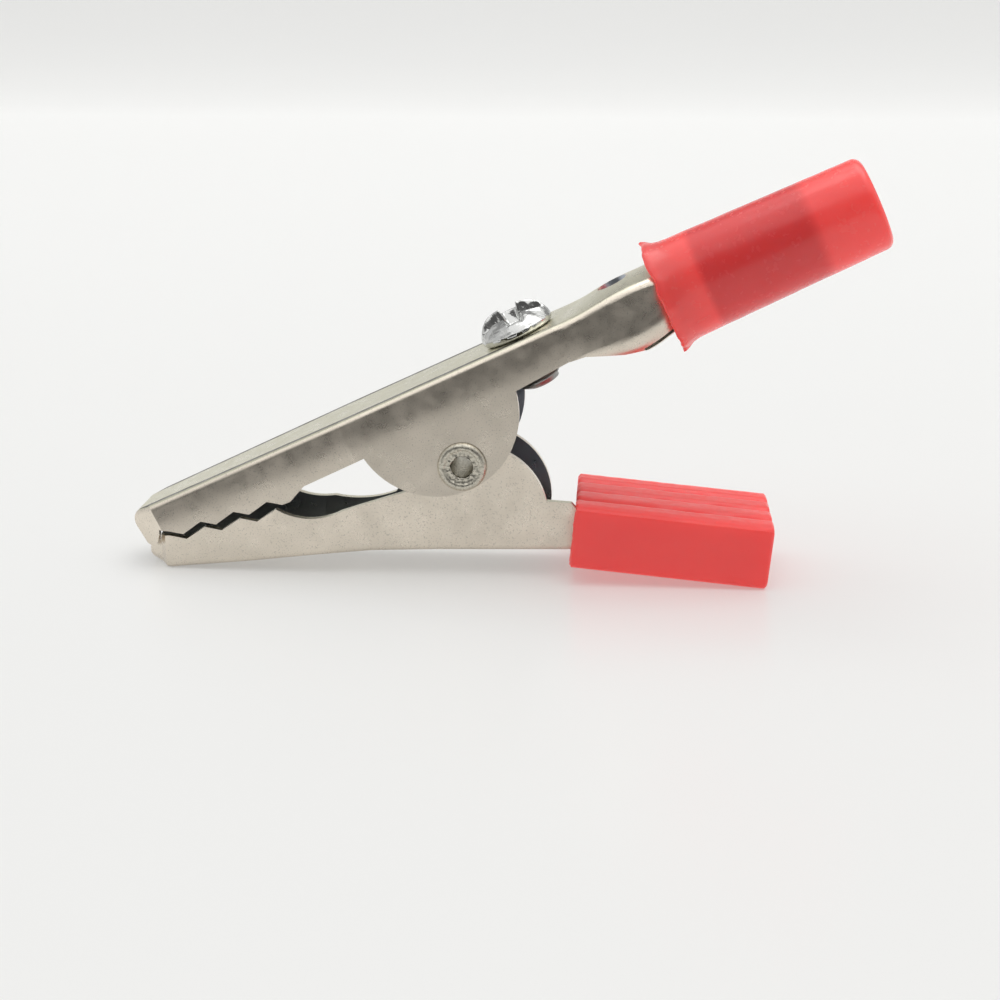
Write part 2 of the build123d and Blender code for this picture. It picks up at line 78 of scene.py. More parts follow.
# ---- places read from the frame ----
JOINTS = {j["name"]: j for j in frame["joints"]}
MOUNTS = {m["name"]: m for m in frame["record"]["mounts"]}
JAW_UP = Vector(JOINTS["screw_travel"]["axis"]).normalized()
JAW_ALONG = Vector((JAW_UP.z, 0, -JAW_UP.x))
ACROSS = Vector((0, 1, 0))
PIVOT = Vector(JOINTS["jaw_pivot"]["pos_m"])
SCREW_SEAT = Vector(MOUNTS["screw_clamp"]["pos_m"])
PLUG_CENTRE = Vector(MOUNTS["plug_socket"]["pos_m"])
SLEEVE_START, SLEEVE_END = span("upper_sleeve", JAW_ALONG)
BARREL_END = span("upper_jaw", JAW_ALONG)[1]
RIVET_LOW, RIVET_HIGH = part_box("pivot_rivet")
SPRING_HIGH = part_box("torsion_spring")[1]
FLOOR_Z = CAD_BOX[0].z


# ------------------------------------------------------------------ mesh helpers
def jaw_frame(origin):
    """Matrix to the row frame from millimetres along the jaw, across it and square to its web."""
    m = Matrix((JAW_ALONG, ACROSS, JAW_UP)).transposed().to_4x4()
    m.translation = origin
    return m @ Matrix.Scale(MM, 4)


def add_piece(name, points, faces, material, place=None, sharp_deg=40):
    """A smooth-shaded mesh object with sharp edges above an angle, its points carried by a matrix."""
    mesh = bpy.data.meshes.new(name)
    mesh.from_pydata([tuple(p) for p in points], [], faces)
    if place:
        mesh.transform(place)
    mesh.validate()
    mesh.update()
    mesh.shade_smooth()
    mesh.set_sharp_from_angle(angle=math.radians(sharp_deg))
    mesh.materials.append(material)
    piece = bpy.data.objects.new(name, mesh)
    bpy.context.scene.collection.objects.link(piece)
    return piece


def stand_for(piece, node, body):
    """Fit a piece in for a CAD node: its body and the node it replaces."""
    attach(piece, body)
    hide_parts(node)


def ring_faces(rings, segments, closed=False):
    """Quads between successive rings of points, joined back to the first ring if closed."""
    faces = []
    for r in range(rings if closed else rings - 1):
        low, high = r * segments, ((r + 1) % rings) * segments
        for s in range(segments):
            t = (s + 1) % segments
            faces.append((low + s, low + t, high + t, high + s))
    return faces


def end_cap(first, segments, centre, reverse=False):
    """Triangles from a ring to a centre point."""
    ring = [(first + s, first + (s + 1) % segments) for s in range(segments)]
    return [(b, a, centre) if reverse else (a, b, centre) for a, b in ring]


def smoothstep(low, high, value):
    t = min(1.0, max(0.0, (value - low) / (high - low)))
    return t * t * (3 - 2 * t)


def arc(cx, cy, radius, start_deg, end_deg, steps):
    """Points on an arc, both ends included."""
    angles = [math.radians(start_deg + (end_deg - start_deg) * i / steps) for i in range(steps + 1)]
    return [(cx + radius * math.cos(a), cy + radius * math.sin(a)) for a in angles]


def divide(points, step):
    """A polyline with its long stretches divided into pieces of about one step."""
    out = [points[0]]
    for (xa, ya), (xb, yb) in zip(points, points[1:]):
        count = max(1, round(math.hypot(xb - xa, yb - ya) / step))
        out += [(xa + (xb - xa) * i / count, ya + (yb - ya) * i / count) for i in range(1, count + 1)]
    return out


def wobble(x, y, z, size):
    """Smooth noise from -1 to 1 whose lumps are about one size across, in millimetres."""
    return noise.noise(Vector((x, y, z)) / size)


def turn(count):
    """Angles evenly spaced round a full turn."""
    return [2 * math.pi * i / count for i in range(count)]


def around(angle):
    """Unit direction (across, up) at an angle that starts upward and turns to the -Y side."""
    return -math.sin(angle), math.cos(angle)


def near_angle(angle, centre_deg, width_deg):
    """1 at an angle, falling to 0 over a width on both sides."""
    off = (math.degrees(angle) - centre_deg + 180) % 360 - 180
    return math.exp(-((off / width_deg) ** 2))


# ------------------------------------------------------------------ material helpers
def set_range(node, low, high, to_low, to_high):
    """Set a Map Range node's four values."""
    for key, value in (("From Min", low), ("From Max", high), ("To Min", to_low), ("To Max", to_high)):
        node.inputs[key].default_value = value


class Shader:
    """A material with one Principled shader and short calls for its nodes."""

    def __init__(self, name):
        self.material = bpy.data.materials.new(name)
        self.material.use_nodes = True
        self.nodes = self.material.node_tree.nodes
        self.links = self.material.node_tree.links
        self.bsdf = self.nodes["Principled BSDF"]
        self.place = self.nodes.new("ShaderNodeTexCoord").outputs["Object"]

    def set(self, **values):
        """Set uniform values of the Principled shader, with _ for a space in an input's name."""
        for key, value in values.items():
            self.bsdf.inputs[key.replace("_", " ")].default_value = value
        return self

    def stretch(self, scale):
        """The object's coordinates in metres, scaled on each axis."""
        node = self.nodes.new("ShaderNodeMapping")
        node.inputs["Scale"].default_value = scale
        self.links.new(self.place, node.inputs["Vector"])
        return node.outputs["Vector"]

    def noise(self, size, detail=3.0, stretch=(1, 1, 1)):
        """Noise whose features are about size metres across."""
        node = self.nodes.new("ShaderNodeTexNoise")
        node.inputs["Scale"].default_value = 1 / size
        node.inputs["Detail"].default_value = detail
        self.links.new(self.stretch(stretch), node.inputs["Vector"])
        return node.outputs["Fac"]

    def along(self, direction):
        """How far a point lies along a direction, in metres."""
        node = self.nodes.new("ShaderNodeVectorMath")
        node.operation = "DOT_PRODUCT"
        self.links.new(self.place, node.inputs[0])
        node.inputs[1].default_value = direction
        return node.outputs["Value"]

    def facing(self, direction):
        """How squarely the surface faces a direction, from -1 to 1."""
        node = self.nodes.new("ShaderNodeVectorMath")
        node.operation = "DOT_PRODUCT"
        self.links.new(self.nodes.new("ShaderNodeNewGeometry").outputs["Normal"], node.inputs[0])
        node.inputs[1].default_value = direction
        return node.outputs["Value"]

    def inside(self):
        """1 on faces that look toward the middle plane, 0 on the outside; shade is painted where it is 1."""
        outward = self.math("MULTIPLY", self.along(ACROSS), self.facing(ACROSS))
        return self.band(outward, -0.6 * MM, -0.2 * MM, 1.0, 0.0)

    def crease_shade(self):
        """1 along the shallow creased line that runs on the web just inside each bend, where a dark line of shade
        is painted, 0 elsewhere.
        """
        half = self.band(self.along(JAW_ALONG), TAPER_START, TAPER_END, TAPER_HALF, EAR_HALF, "LINEAR")
        inset = self.math("SUBTRACT", half, self.math("ABSOLUTE", self.along(ACROSS), 0.0))
        line = self.math(
            "MULTIPLY",
            self.band(inset, CREASE_NEAR - 0.1 * MM, CREASE_NEAR),
            self.band(inset, CREASE_FAR - 0.2 * MM, CREASE_FAR, 1.0, 0.0),
        )
        ends = self.band(self.along(JAW_ALONG), NECK_START - 1.5 * MM, NECK_START, 1.0, 0.0)
        flat = self.band(self.facing(JAW_UP), 0.85, 0.95)
        return self.math("MULTIPLY", self.math("MULTIPLY", line, ends), flat)

    def lean(self, direction, amount):
        """Tip the normal toward a direction, as where a sheet's bend fades slowly into its flat."""
        push = self.nodes.new("ShaderNodeVectorMath")
        push.operation = "SCALE"
        push.inputs[0].default_value = direction
        self.links.new(amount, push.inputs["Scale"])
        total = self.nodes.new("ShaderNodeVectorMath")
        self.links.new(self.nodes.new("ShaderNodeNewGeometry").outputs["Normal"], total.inputs[0])
        self.links.new(push.outputs["Vector"], total.inputs[1])
        unit = self.nodes.new("ShaderNodeVectorMath")
        unit.operation = "NORMALIZE"
        self.links.new(total.outputs["Vector"], unit.inputs[0])
        self.links.new(unit.outputs["Vector"], self.bsdf.inputs["Normal"])

    def band(self, source, low, high, to_low=0.0, to_high=1.0, step="SMOOTHSTEP"):
        """Map a value from one range to another, clamped, by a smooth step unless told otherwise."""
        node = self.nodes.new("ShaderNodeMapRange")
        node.interpolation_type = step
        self.links.new(source, node.inputs["Value"])
        set_range(node, low, high, to_low, to_high)
        return node.outputs["Result"]

    def mix(self, factor, a, b):
        """A colour between a and b, each a colour or a node's output."""
        node = self.nodes.new("ShaderNodeMix")
        node.data_type = "RGBA"
        self.links.new(factor, node.inputs["Factor"])
        for key, value in (("A", a), ("B", b)):
            socket = [s for s in node.inputs if s.name == key and s.type == "RGBA"][0]
            if isinstance(value, tuple):
                socket.default_value = (*value, 1)
            else:
                self.links.new(value, socket)
        return [s for s in node.outputs if s.type == "RGBA"][0]

    def math(self, operation, a, b):
        """The result of an arithmetic step on two values, each a number or a node's output."""
        node = self.nodes.new("ShaderNodeMath")
        node.operation = operation
        for socket, value in zip(node.inputs, (a, b)):
            if isinstance(value, (int, float)):
                socket.default_value = value
            else:
                self.links.new(value, socket)
        return node.outputs["Value"]

    def colour(self, source):
        self.links.new(source, self.bsdf.inputs["Base Color"])

    def rough(self, source):
        self.links.new(source, self.bsdf.inputs["Roughness"])

    def bump(self, height, distance, strength=1.0):
        """Surface relief: height of 0 to 1 stands for a distance in metres."""
        node = self.nodes.new("ShaderNodeBump")
        node.inputs["Strength"].default_value = strength
        node.inputs["Distance"].default_value = distance
        self.links.new(height, node.inputs["Height"])
        earlier = self.bsdf.inputs["Normal"].links
        if earlier:
            self.links.new(earlier[0].from_socket, node.inputs["Normal"])
        self.links.new(node.outputs["Normal"], self.bsdf.inputs["Normal"])


# ------------------------------------------------------------------ materials
WEB_REACH = SCREW_SEAT.dot(JAW_UP)
CHEEK_TONE = ((0.72, 0.655, 0.56), (0.81, 0.735, 0.63))
# Painted highlight: faces that turn up like the web get a lighter, yellower plate colour.
WEB_PAINTED_HIGHLIGHT = (0.80, 0.775, 0.62)
SPECK_TONE = (0.50, 0.46, 0.40)
# Painted shade: faces that look into the channel between the cheeks get this darker, bluish tone.
INSIDE_PAINTED_SHADE = (0.46, 0.49, 0.54)
# Painted shade: a nearly black line along the web just inside each bend.
CREASE_PAINTED_SHADE = (0.07, 0.065, 0.045)
# The upper jaw's half width grows from its nose fold to its ear, at these distances along the jaw.
TAPER_START, TAPER_END = -21.4 * MM, -6.5 * MM
TAPER_HALF, EAR_HALF = 2.7 * MM, 3.5 * MM
CREASE_NEAR, CREASE_FAR = 0.42 * MM, 1.0 * MM
# The bends' lean grows between these distances along the neck, and fades between these depths
# below the web.
NECK_START, NECK_FULL = 9.5 * MM, 14.5 * MM
NECK_LEAN_LOW, NECK_LEAN_HIGH = 3.7 * MM, 2.2 * MM
# The cheeks' lean fades between these depths below the web.
CHEEK_LEAN_LOW, CHEEK_LEAN_HIGH = 2.9 * MM, 0.5 * MM
# The lower jaw leans downward, between these depths below the pivot.
KEEL_LEAN_START, KEEL_LEAN_END = 3.0 * MM, 7.0 * MM
# Least and most lean of each jaw, and what the neck adds.
UPPER_LEAN, LOWER_LEAN, NECK_LEAN = (0.09, 0.27), (0.03, 0.06), 0.05


def plated_steel(name, direction, start, end, least, most):
    """Nickel plate on stamped sheet: satin, faintly warm, with cloudy patches and fine pitting.

    The normal leans in a direction, by the least amount at the start height and the most at the end.
    """
    s = Shader(name).set(Metallic=1.0, IOR=1.6)
    amount = s.band(s.along(direction), start, end, least, most)
    if direction == JAW_UP:
        neck = s.band(s.along(JAW_ALONG), NECK_START, NECK_FULL, 0.0, most + NECK_LEAN)
        rise = s.band(s.along(JAW_UP), WEB_REACH - NECK_LEAN_LOW, WEB_REACH - NECK_LEAN_HIGH)
        amount = s.math("MAXIMUM", amount, s.math("MULTIPLY", neck, rise))
    s.lean(direction, amount)
    clouds = s.noise(4.0 * MM, detail=4)
    grain = s.noise(0.1 * MM, detail=2)
    plate = s.mix(s.band(clouds, 0.35, 0.68), *CHEEK_TONE)
    # Painted highlight: faces turned up like the web take the lighter, yellower tone.
    plate = s.mix(s.band(s.facing(JAW_UP), 0.55, 0.9), plate, WEB_PAINTED_HIGHLIGHT)
    plate = s.mix(s.band(grain, 0.56, 0.72, 0.0, 0.8), plate, SPECK_TONE)
    # Painted shade: a dark line along the upper jaw's web just inside each bend.
    if direction == JAW_UP:
        plate = s.mix(s.crease_shade(), plate, CREASE_PAINTED_SHADE)
    # Painted shade: faces that look toward the middle plane take the darker, bluish tone.
    s.colour(s.mix(s.inside(), plate, INSIDE_PAINTED_SHADE))
    s.rough(s.band(s.noise(1.1 * MM, detail=5), 0.3, 0.72, 0.26, 0.38))
    s.bump(grain, 0.007 * MM, 0.6)
    s.bump(s.noise(0.9 * MM, detail=2), 0.012 * MM, 0.5)
    return s.material


def bright_nickel():
    """The screw's plate: nearly a mirror and softly dented on the head, dull and dark on the thread."""
    s = Shader("bright_nickel").set(Metallic=1.0)
    head = s.band(s.along(JAW_UP), WEB_REACH - 0.3 * MM, WEB_REACH)
    bright = s.mix(s.noise(0.8 * MM), (0.46, 0.47, 0.47), (0.72, 0.72, 0.70))
    s.colour(s.mix(head, (0.30, 0.30, 0.29), bright))
    dull = s.band(s.noise(0.5 * MM, detail=4), 0.35, 0.75, 0.09, 0.26)
    s.rough(s.math("ADD", dull, s.math("MULTIPLY", s.math("SUBTRACT", 1.0, head), 0.25)))
    s.bump(s.noise(0.55 * MM, detail=2), 0.09 * MM, 0.7)
    return s.material


def rivet_steel():
    """The rivet's plate, rough where the rolling tool pressed it."""
    s = Shader("rivet_steel").set(Metallic=1.0)
    pits = s.noise(0.16 * MM, detail=3)
    s.colour(s.mix(s.band(pits, 0.5, 0.7), (0.58, 0.55, 0.47), (0.40, 0.38, 0.32)))
    s.rough(s.band(pits, 0.3, 0.7, 0.24, 0.42))
    s.bump(pits, 0.03 * MM, 0.6)
    return s.material


def spring_wire():
    """Drawn, oiled steel wire, darker than the plate."""
    s = Shader("spring_wire").set(Metallic=1.0)
    s.colour(s.mix(s.noise(0.4 * MM, detail=4), (0.30, 0.30, 0.31), (0.50, 0.49, 0.47)))
    s.rough(s.band(s.noise(0.2 * MM, detail=3), 0.3, 0.7, 0.25, 0.42))
    s.bump(s.noise(0.08 * MM), 0.004 * MM, 0.6)
    return s.material


# Painted light: a faint red emission that stands in for light coming through the vinyl's wall.
VINYL_PAINTED_GLOW = (1.0, 0.13, 0.12)
PAINTED_GLOW_LEVEL = 0.12
PAINTED_GLOW_REACH = 1.15


def red_vinyl(name, pale, deep, rough_low, rough_high, backed=None):
    """Soft red vinyl with light scattered inside it, faint streaks where the moulding flowed and fine dust marks.

    Where it is backed by metal, between two distances along the jaw, painted shade makes it a deeper red, and
    elsewhere a painted emission glows a little, standing in for the light that comes through its wall.
    """
    s = Shader(name).set(IOR=1.45, Coat_Weight=0.15, Coat_Roughness=0.12)
    s.set(Subsurface_Weight=0.85, Subsurface_Scale=1.5 * MM)
    s.bsdf.inputs["Subsurface Radius"].default_value = (1.0, 0.15, 0.1)
    flow_and_backed_shade = s.band(s.noise(2.5 * MM, detail=4, stretch=(0.4, 1, 1)), 0.3, 0.7, 0.0, 0.25)
    # Painted shade: a deeper red where metal backs the vinyl.
    if backed:
        place = s.along(JAW_ALONG)
        start = s.band(place, backed[0] - 0.3 * MM, backed[0] + 0.5 * MM)
        end = s.band(place, backed[1] - 0.5 * MM, backed[1] + 0.7 * MM, 1.0, 0.0)
        flow_and_backed_shade = s.math("MAXIMUM", flow_and_backed_shade, s.math("MULTIPLY", start, end))
    s.colour(s.mix(flow_and_backed_shade, pale, deep))
    # Painted light: the emission is weaker where the colour is deeper, and weakest where metal backs the vinyl.
    s.bsdf.inputs["Emission Color"].default_value = (*VINYL_PAINTED_GLOW, 1)
    painted_glow = s.math("MULTIPLY", s.math("SUBTRACT", PAINTED_GLOW_REACH, flow_and_backed_shade), PAINTED_GLOW_LEVEL)
    s.links.new(painted_glow, s.bsdf.inputs["Emission Strength"])
    s.rough(s.band(s.noise(0.5 * MM, detail=2), 0.3, 0.7, rough_low, rough_high))
    s.bump(s.noise(2.2 * MM, detail=1), 0.03 * MM, 0.5)
    s.bump(s.noise(0.14 * MM, detail=2), 0.002 * MM, 0.4)
    return s.material


UPPER_STEEL = plated_steel(
    "plated_steel_upper", JAW_UP, WEB_REACH - CHEEK_LEAN_LOW, WEB_REACH - CHEEK_LEAN_HIGH, *UPPER_LEAN
)
LOWER_STEEL = plated_steel(
    "plated_steel_lower", Vector((0, 0, -1)), KEEL_LEAN_START, KEEL_LEAN_END, *LOWER_LEAN
)
NICKEL = bright_nickel()
RIVET = rivet_steel()
WIRE = spring_wire()
# The barrel touches the sleeve's bore from this distance behind the lip to the barrel's end.
BORE_X = 3.0
SLEEVE_BORE_START = SLEEVE_START + BORE_X * MM
# Painted shade: the sleeve turns a deeper red between these distances, where the barrel backs it.
SLEEVE_RED = red_vinyl(
    "red_sleeve", (0.96, 0.085, 0.08), (0.78, 0.06, 0.062), 0.2, 0.28, (SLEEVE_BORE_START, BARREL_END)
)
GRIP_RED = red_vinyl("red_grip", (0.96, 0.075, 0.072), (0.88, 0.062, 0.062), 0.3, 0.42)


def dress_node(node, material):
    """Give a CAD node its material."""
    piece = frame["nodes"][node]
    piece.data.materials.clear()
    piece.data.materials.append(material)
    return piece


def soften_edges(piece, width):
    """Round the sheet's cut edges a little, as stamping and plating do."""
    bevel = piece.modifiers.new("edge_round", "BEVEL")
    bevel.width = width
    bevel.segments = 2
    bevel.limit_method = "ANGLE"
    bevel.angle_limit = math.radians(40)
    bevel.harden_normals = True


# ------------------------------------------------------------------ sleeve
SLEEVE_SEGMENTS = 144
SLEEVE_R, SLEEVE_REAR_R, SLEEVE_ROUND = 3.48, 3.2, 0.6
SLEEVE_HOLE_R, SLEEVE_BORE_R, SLEEVE_END_WALL = 2.3, 2.54, 1.3
FLARE_LENGTH = 1.8
LIP_LIMIT_R = 3.97
# Points of the torn lip: angle and width in degrees, and size.
LIP_SPIKES = [
    (-14, 5, 0.2),
    (-34, 4, 0.1),
    (28, 6, 0.08),
    (95, 5, 0.09),
    (150, 5, 0.1),
    (168, 4, 0.22),
    (250, 7, 0.1),
]
LIP_RAG = 1.1
LUMP_SIZE, LUMP_DEPTH = 2.2, 0.035


def sleeve_profile(length):
    """Closed profile of (distance from the lip, radius): rim, flare, taper, round end, hole and bore."""
    rim = [(0.14, 3.5), (0.03, 3.58), (0.0, 3.66), (0.06, 3.75), (0.2, 3.76)]
    flare = [(0.5, 3.68), (0.85, 3.58), (1.3, 3.51), (FLARE_LENGTH, SLEEVE_R)]
    bend = length - SLEEVE_ROUND
    taper = divide([flare[-1], (bend, SLEEVE_REAR_R)], 0.5)[1:]
    corner = arc(bend, SLEEVE_REAR_R - SLEEVE_ROUND, SLEEVE_ROUND, 90, 0, 8)[1:]
    wall = length - SLEEVE_END_WALL
    hole = [(length, 2.42), (length - 0.06, 2.33), (length - 0.16, SLEEVE_HOLE_R), (wall, SLEEVE_HOLE_R)]
    bore = [(wall, SLEEVE_BORE_R), (BORE_X, SLEEVE_BORE_R), (1.4, 3.22)]
    return rim + flare + taper + corner + hole + bore


def add_sleeve():
    """Round vinyl sleeve with a flared, unevenly cut lip and a plug opening at its rear end."""
    length = (SLEEVE_END - SLEEVE_START) / MM
    profile = sleeve_profile(length)
    points = []
    for x, r in profile:
        rag = 1 - smoothstep(0.2, LIP_RAG, x)
        outer = r > SLEEVE_BORE_R + 0.06
        for a in turn(SLEEVE_SEGMENTS):
            across, up = around(a)
            spikes = sum(size * near_angle(a, centre, width) for centre, width, size in LIP_SPIKES)
            uneven = 0.05 * wobble(across, up, 0, 0.35) + 0.03 * wobble(across, up, 5, 0.12)
            reach = max(0.0, x + rag * (0.12 + 0.16 * wobble(across, up, 3, 0.3) - 0.5 * spikes))
            lumps = outer * LUMP_DEPTH * (1 - rag) * abs(wobble(x, 3 * across, 3 * up, LUMP_SIZE))
            radius = min(LIP_LIMIT_R, r + rag * (spikes + uneven) - lumps)
            points.append((reach, radius * across, radius * up))
    origin = PLUG_CENTRE + JAW_ALONG * (SLEEVE_START - PLUG_CENTRE.dot(JAW_ALONG))
    faces = ring_faces(len(profile), SLEEVE_SEGMENTS, closed=True)
    piece = add_piece("sleeve", points, faces, SLEEVE_RED, jaw_frame(origin), 60)
    stand_for(piece, "upper_sleeve", "upper")


# ------------------------------------------------------------------ grip
# The grip's own frame is in millimetres: along the handle from the jaw's shoulder, across, and up from
# the pivot's height. It drops away about a hinge line at the foot of the shoulder.
GRIP_DROP_DEG = 5.3
GRIP_HINGE = Vector((7.5, 0, -6.0))
GRIP_FRONT, GRIP_REAR = -0.15, 13.35
GRIP_TOP, GRIP_BOTTOM, GRIP_HALF = -2.35, -6.77, 4.5
GROOVES = (-2.25, 0.0, 2.25)
GROOVE_DEPTH, GROOVE_HALF = 0.3, 0.3
POCKET_HALF, POCKET_TOP, POCKET_BOTTOM, POCKET_END = 2.95, -3.0, -6.0, 12.0
GRIP_RIM = 0.16
GRIP_ROUND, GRIP_CORNER = 0.3, 0.4
# Spacing of points round the grip's outline, and spacing and count of its rings.
GRIP_STEP, GRIP_RING_STEP, GRIP_RINGS = 0.14, 0.35, 36
RIM_RAG = 1.2


def rounded_box(half, low, high, radius, step):
    """Closed outline of (across, up) points round a box with rounded corners."""
    corners = arc(radius - half, high - radius, radius, 180, 90, 5)
    corners += arc(half - radius, high - radius, radius, 90, 0, 5)
    corners += arc(half - radius, low + radius, radius, 0, -90, 5)
    corners += arc(radius - half, low + radius, radius, -90, -180, 5)
    return divide(corners + corners[:1], step)[:-1]


def grip_outline(x, outline, inset):
    """The grip's cross section at x, inset all round, with soft uneven ridges along its top."""
    middle = (GRIP_TOP + GRIP_BOTTOM) / 2
    tall = (GRIP_TOP - GRIP_BOTTOM) / 2
    points = []
    for y, z in outline:
        y2, z2 = y * (1 - inset / GRIP_HALF), middle + (z - middle) * (1 - inset / tall)
        if z > middle + 0.9 * tall:
            offs = [y - g + 0.08 * wobble(x, g, 0, 3.0) for g in GROOVES]
            groove = max(math.exp(-((off / GROOVE_HALF) ** 2)) for off in offs)
            depth = GROOVE_DEPTH * (0.85 + 0.3 * wobble(x, y, 2, 1.8))
            z2 -= groove * depth + 0.05 * abs(wobble(x, y, 0, 1.3))
            z2 -= 0.12 * smoothstep(GRIP_HALF - 0.9, GRIP_HALF, abs(y))
        points.append((y2, z2))
    return points


def grip_rings():
    """(distance along the handle, inset) of each cross section, from the front rim to the rounded rear."""
    rings = [(GRIP_FRONT, GRIP_RIM)]
    rings += [(GRIP_FRONT + GRIP_RIM + GRIP_RING_STEP * i, 0.0) for i in range(GRIP_RINGS)]
    for x, height in arc(GRIP_REAR - GRIP_ROUND, 0, GRIP_ROUND, 90, 0, 8)[1:]:
        rings.append((x, GRIP_ROUND - height))
    return rings


def rim_setback(x, y, z):
    """How far the cut front rim stands back at a point, with one long corner at the far top."""
    uneven = 0.25 * abs(wobble(y, z, 0, 1.1)) + 0.1 * abs(wobble(y, z, 4, 0.35))
    spike = 0.3 * math.exp(-(((y - GRIP_HALF) / 0.35) ** 2) - ((z - GRIP_TOP) / 0.5) ** 2)
    return (1 - smoothstep(0.0, RIM_RAG, x - GRIP_FRONT)) * max(0.0, uneven - spike)


def pocket_outline(outline, middle):
    """The pocket's cross section: each point of the outside drawn in toward the centre."""
    points = []
    for y, z in outline:
        side = POCKET_HALF / max(abs(y), 0.01)
        high = POCKET_TOP - middle if z > middle else middle - POCKET_BOTTOM
        share = min(side, high / max(abs(z - middle), 0.01))
        points.append((y * share, middle + (z - middle) * share))
    return points


def add_grip():
    """Rectangular vinyl grip: ridged top, open front with a visible wall, closed and rounded rear."""
    outline = rounded_box(GRIP_HALF, GRIP_BOTTOM, GRIP_TOP, GRIP_CORNER, GRIP_STEP)
    segments = len(outline)
    middle = (GRIP_TOP + GRIP_BOTTOM) / 2
    rings = grip_rings()
    points = []
    for x, inset in rings:
        points += [(x + rim_setback(x, y, z), y, z) for y, z in grip_outline(x, outline, inset)]
    faces = ring_faces(len(rings), segments)
    faces += end_cap((len(rings) - 1) * segments, segments, len(points))
    points.append((GRIP_REAR, 0, middle))
    pocket = pocket_outline(outline, middle)
    first = len(points)
    points += [(points[i][0] + 0.02, y, z) for i, (y, z) in enumerate(pocket)]
    points += [(x, y, z) for x in (1.5, POCKET_END) for y, z in pocket]
    faces += [tuple(first + v for v in reversed(face)) for face in ring_faces(3, segments)]
    faces += [(s, first + s, first + (s + 1) % segments, (s + 1) % segments) for s in range(segments)]
    faces += end_cap(first + 2 * segments, segments, len(points))
    points.append((POCKET_END, 0, middle))
    drop = Matrix.Rotation(math.radians(GRIP_DROP_DEG), 4, "Y")
    place = Matrix.Scale(MM, 4) @ Matrix.Translation(GRIP_HINGE) @ drop
    place = place @ Matrix.Translation((0, 0, -GRIP_HINGE.z))
    piece = add_piece("grip", points, faces, GRIP_RED, place, 50)
    stand_for(piece, "lower_grip", "lower")


# ------------------------------------------------------------------ screw
# Head profile of (radius, height above the seat), from the crown out and then back under the edge.
HEAD = [(0.02, 1.85), (0.8, 1.84), (1.3, 1.8), (1.6, 1.72), (1.9, 1.54)]
HEAD += [(2.15, 1.3), (2.35, 1.02), (2.49, 0.75)]
HEAD_UNDER = [(2.55, 0.48), (2.52, 0.25), (2.4, 0.08), (2.2, 0.0), (1.5, 0.0), (1.31, -0.02)]
SLOT_HALF, SLOT_FLOOR = 0.42, 0.95
CROSS_HALF, CROSS_REACH, CROSS_FLOOR = 0.5, 1.7, 0.6
NEAR_LOBE, FAR_LOBE = 0.72, 1.1
THREAD_CORE, THREAD_HIGH, THREAD_PITCH = 1.31, 0.14, 0.5
SHANK_LENGTH, TIP_ROUND = 3.9, 0.42
THREAD_STEP, THREAD_ROWS = 0.05, 70
SCREW_SEGMENTS = 144
HEAD_STEP = 0.055
SLOT_TURN = math.radians(8)


def bar(side, along, half, reach, soft):
    """1 inside a soft-edged bar, 0 outside."""
    inside = 1 - smoothstep(half - soft, half + soft, abs(side))
    return inside * (1 - smoothstep(reach - 2 * soft, reach + 2 * soft, abs(along)))


def head_height(x, y, z):
    """A head point's height once the slot and cross are pressed in and the metal beside them raised."""
    x += 0.12 * wobble(x, y, 7, 0.5)
    y += 0.12 * wobble(x, y, 9, 0.5)
    slot = bar(y, x, SLOT_HALF, 9.0, 0.12)
    cross = max(bar(y, x, CROSS_HALF, CROSS_REACH, 0.2), bar(x, y, CROSS_HALF, CROSS_REACH, 0.2))
    burr = 4 * max(slot * (1 - slot), cross * (1 - cross))
    z *= NEAR_LOBE + (FAR_LOBE - NEAR_LOBE) * smoothstep(-1.2, 0.6, y)
    z += 0.08 * wobble(x, y, 0, 0.8) - 0.04 + 0.12 * burr * wobble(x, y, 3, 0.25)
    z -= slot * max(0.0, z - SLOT_FLOOR)
    z -= cross * max(0.0, z - CROSS_FLOOR)
    return z


def screw_shank(a, down):
    """Radius of the threaded shank at an angle and a depth below the seat, with a domed tip."""
    phase = (down / THREAD_PITCH + a / (2 * math.pi)) % 1
    ridge = 1 - abs(2 * phase - 1)
    full = THREAD_CORE + THREAD_HIGH * smoothstep(0.15, 0.85, ridge) * smoothstep(0.1, 0.5, down)
    left = (SHANK_LENGTH - down) / TIP_ROUND
    return full * math.sqrt(max(0.0, 1 - (1 - left) ** 2)) if left < 1 else full


